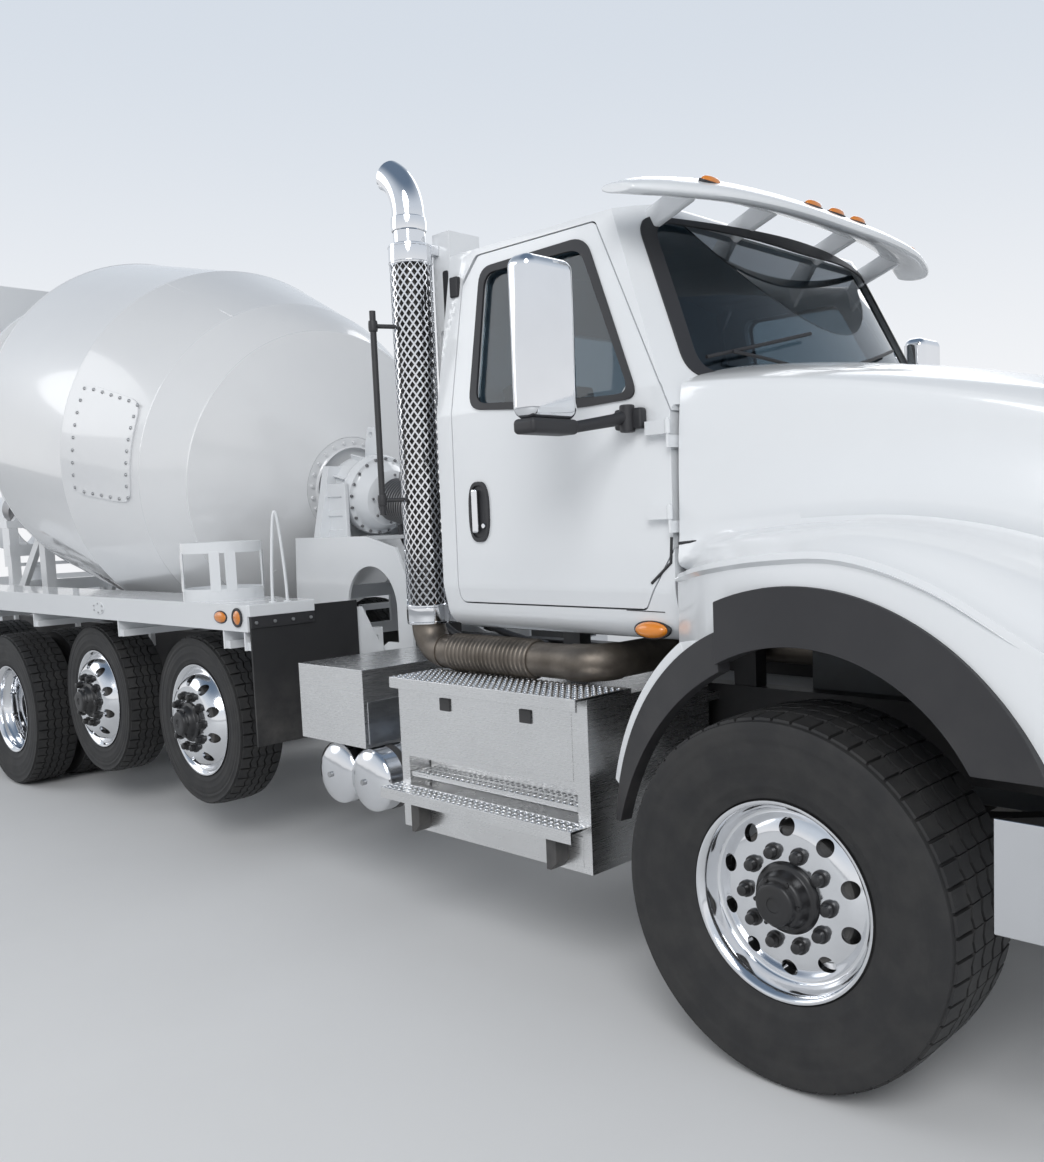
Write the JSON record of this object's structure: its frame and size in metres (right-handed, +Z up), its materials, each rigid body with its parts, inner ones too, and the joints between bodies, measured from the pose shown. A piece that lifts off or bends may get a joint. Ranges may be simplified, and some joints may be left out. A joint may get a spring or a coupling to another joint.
{
  "type": "concrete mixer truck",
  "caption": "Concrete mixer truck with a tilting hood, two doors, steered front wheels, lift axles, twin drive wheels, a sloping drum and a folding rear chute.",
  "frame": {"origin": "on the ground under the middle of the vehicle", "axes": "+X forward, +Y to the left of the vehicle, +Z up"},
  "size_m": [10.6999, 2.935, 3.837],
  "materials": {
    "white_paint": "gloss paint",
    "drum_paint": "gloss paint over rolled plate",
    "frame_black": "satin chassis paint",
    "axle_black": "painted castings",
    "engine_grey": "painted castings",
    "chrome": "polished",
    "bumper_steel": "brushed",
    "polished_aluminium": "polished",
    "brushed_aluminium": "brushed sheet",
    "exhaust_steel": "heat stained",
    "glass_tint": "tinted",
    "lamp_clear": "clear lens",
    "lamp_amber": "lens",
    "black_plastic": "moulded",
    "grille_grey": "moulded",
    "interior": "moulded and fabric",
    "flap_rubber": "sheet",
    "tyre": "road tyre",
    "wheel_alloy": "polished",
    "roller_steel": "machined"
  },
  "bodies": {
    "chassis": {"frame_rails": "frame_black", "front_axle": "axle_black", "engine_block": "engine_grey", "front_bumper": "bumper_steel", "cab_shell": "white_paint", "cab_glass": "glass_tint", "cab_interior": "interior", "sun_visor": "white_paint", "marker_lamps": "lamp_amber", "exhaust_stack": "chrome", "exhaust_pipe": "exhaust_steel", "stack_column": "white_paint", "step_boxes": "brushed_aluminium", "tanks": "polished_aluminium", "pusher_axles": "axle_black", "drive_axles": "axle_black", "side_decks": "white_paint", "mud_flaps": "flap_rubber", "front_pedestal": "white_paint", "drum_drive": "white_paint", "rear_pedestal": "white_paint", "drum_rollers": "roller_steel", "charge_hopper": "white_paint"},
    "hood": {"hood": "white_paint", "fender_flares": "black_plastic", "grille": "grille_grey", "headlamps": "lamp_clear"},
    "door_right": {"door_right": "white_paint", "door_glass_right": "glass_tint", "mirror_right": "chrome"},
    "door_left": {"door_left": "white_paint", "door_glass_left": "glass_tint", "mirror_left": "chrome"},
    "drum": {"drum": "drum_paint"},
    "chute_turret": {"chute_turret": "white_paint"},
    "chute_main": {"chute_main": "white_paint"},
    "chute_fold": {"chute_fold": "white_paint"},
    "knuckle_right": {"knuckle_right": "axle_black"},
    "knuckle_left": {"knuckle_left": "axle_black"},
    "tie_rod": {"tie_rod": "axle_black"},
    "wheel_front_right": {"tyre_front_right": "tyre", "wheel_front_right": "wheel_alloy"},
    "wheel_front_left": {"tyre_front_left": "tyre", "wheel_front_left": "wheel_alloy"},
    "wheel_pusher_1_right": {"tyre_pusher_1_right": "tyre", "wheel_pusher_1_right": "wheel_alloy"},
    "wheel_pusher_1_left": {"tyre_pusher_1_left": "tyre", "wheel_pusher_1_left": "wheel_alloy"},
    "wheel_pusher_2_right": {"tyre_pusher_2_right": "tyre", "wheel_pusher_2_right": "wheel_alloy"},
    "wheel_pusher_2_left": {"tyre_pusher_2_left": "tyre", "wheel_pusher_2_left": "wheel_alloy"},
    "wheel_drive_1_right": {"tyre_drive_1_right": "tyre", "wheel_drive_1_right": "wheel_alloy"},
    "wheel_drive_1_left": {"tyre_drive_1_left": "tyre", "wheel_drive_1_left": "wheel_alloy"},
    "wheel_drive_2_right": {"tyre_drive_2_right": "tyre", "wheel_drive_2_right": "wheel_alloy"},
    "wheel_drive_2_left": {"tyre_drive_2_left": "tyre", "wheel_drive_2_left": "wheel_alloy"}
  },
  "joints": [
    {"name": "steer_right", "type": "hinge", "parent": "chassis", "child": "knuckle_right", "pos_m": [4.2, -0.78, 0.562], "axis": [0, 0, 1], "range_deg": [-35, 35]},
    {"name": "steer_left", "type": "hinge", "parent": "chassis", "child": "knuckle_left", "pos_m": [4.2, 0.78, 0.562], "axis": [0, 0, 1], "range_deg": [-35, 35]},
    {"name": "tie_rod_pivot", "type": "hinge", "parent": "knuckle_right", "child": "tie_rod", "pos_m": [4.01, -0.78, 0.398], "axis": [0, 0, 1], "range_deg": [-35, 35]},
    {"name": "spin_front_right", "type": "hinge", "parent": "knuckle_right", "child": "wheel_front_right", "pos_m": [4.2, -1.045, 0.562], "axis": [0, 1, 0], "continuous": true},
    {"name": "spin_front_left", "type": "hinge", "parent": "knuckle_left", "child": "wheel_front_left", "pos_m": [4.2, 1.045, 0.562], "axis": [0, 1, 0], "continuous": true},
    {"name": "spin_pusher_1_right", "type": "hinge", "parent": "chassis", "child": "wheel_pusher_1_right", "pos_m": [0.465, -0.975, 0.698], "axis": [0, 1, 0], "continuous": true},
    {"name": "spin_pusher_1_left", "type": "hinge", "parent": "chassis", "child": "wheel_pusher_1_left", "pos_m": [0.465, 0.975, 0.698], "axis": [0, 1, 0], "continuous": true},
    {"name": "spin_pusher_2_right", "type": "hinge", "parent": "chassis", "child": "wheel_pusher_2_right", "pos_m": [-0.83, -0.975, 0.698], "axis": [0, 1, 0], "continuous": true},
    {"name": "spin_pusher_2_left", "type": "hinge", "parent": "chassis", "child": "wheel_pusher_2_left", "pos_m": [-0.83, 0.975, 0.698], "axis": [0, 1, 0], "continuous": true},
    {"name": "spin_drive_1_right", "type": "hinge", "parent": "chassis", "child": "wheel_drive_1_right", "pos_m": [-2.07, -1.075, 0.527], "axis": [0, 1, 0], "continuous": true},
    {"name": "spin_drive_1_left", "type": "hinge", "parent": "chassis", "child": "wheel_drive_1_left", "pos_m": [-2.07, 1.075, 0.527], "axis": [0, 1, 0], "continuous": true},
    {"name": "spin_drive_2_right", "type": "hinge", "parent": "chassis", "child": "wheel_drive_2_right", "pos_m": [-3.37, -1.075, 0.527], "axis": [0, 1, 0], "continuous": true},
    {"name": "spin_drive_2_left", "type": "hinge", "parent": "chassis", "child": "wheel_drive_2_left", "pos_m": [-3.37, 1.075, 0.527], "axis": [0, 1, 0], "continuous": true},
    {"name": "door_right_swing", "type": "hinge", "parent": "chassis", "child": "door_right", "pos_m": [3.703, -1.042, 1.955], "axis": [0, 0, 1], "range_deg": [0, 70]},
    {"name": "door_left_swing", "type": "hinge", "parent": "chassis", "child": "door_left", "pos_m": [3.703, 1.042, 1.955], "axis": [0, 0, -1], "range_deg": [0, 70]},
    {"name": "hood_tilt", "type": "hinge", "parent": "chassis", "child": "hood", "pos_m": [5.22, 0, 0.985], "axis": [0, 1, 0], "range_deg": [0, 75]},
    {"name": "drum_spin", "type": "hinge", "parent": "chassis", "child": "drum", "pos_m": [0.42, 0, 1.955], "axis": [-0.9763, 0, 0.2164], "continuous": true},
    {"name": "chute_swing", "type": "hinge", "parent": "chassis", "child": "chute_turret", "pos_m": [-4.56, 0, 1.355], "axis": [0, 0, 1], "range_deg": [-90, 90]},
    {"name": "chute_tilt", "type": "hinge", "parent": "chute_turret", "child": "chute_main", "pos_m": [-4.56, 0, 1.855], "axis": [0, 1, 0], "range_deg": [-35, 8]},
    {"name": "chute_unfold", "type": "hinge", "parent": "chute_main", "child": "chute_fold", "pos_m": [-5.32, 0, 1.861], "axis": [0, -1, 0], "range_deg": [0, 180]}
  ],
  "couplings": [
    {"joint": "steer_left", "follows": "steer_right", "ratio": 1},
    {"joint": "tie_rod_pivot", "follows": "steer_right", "ratio": -1}
  ]
}
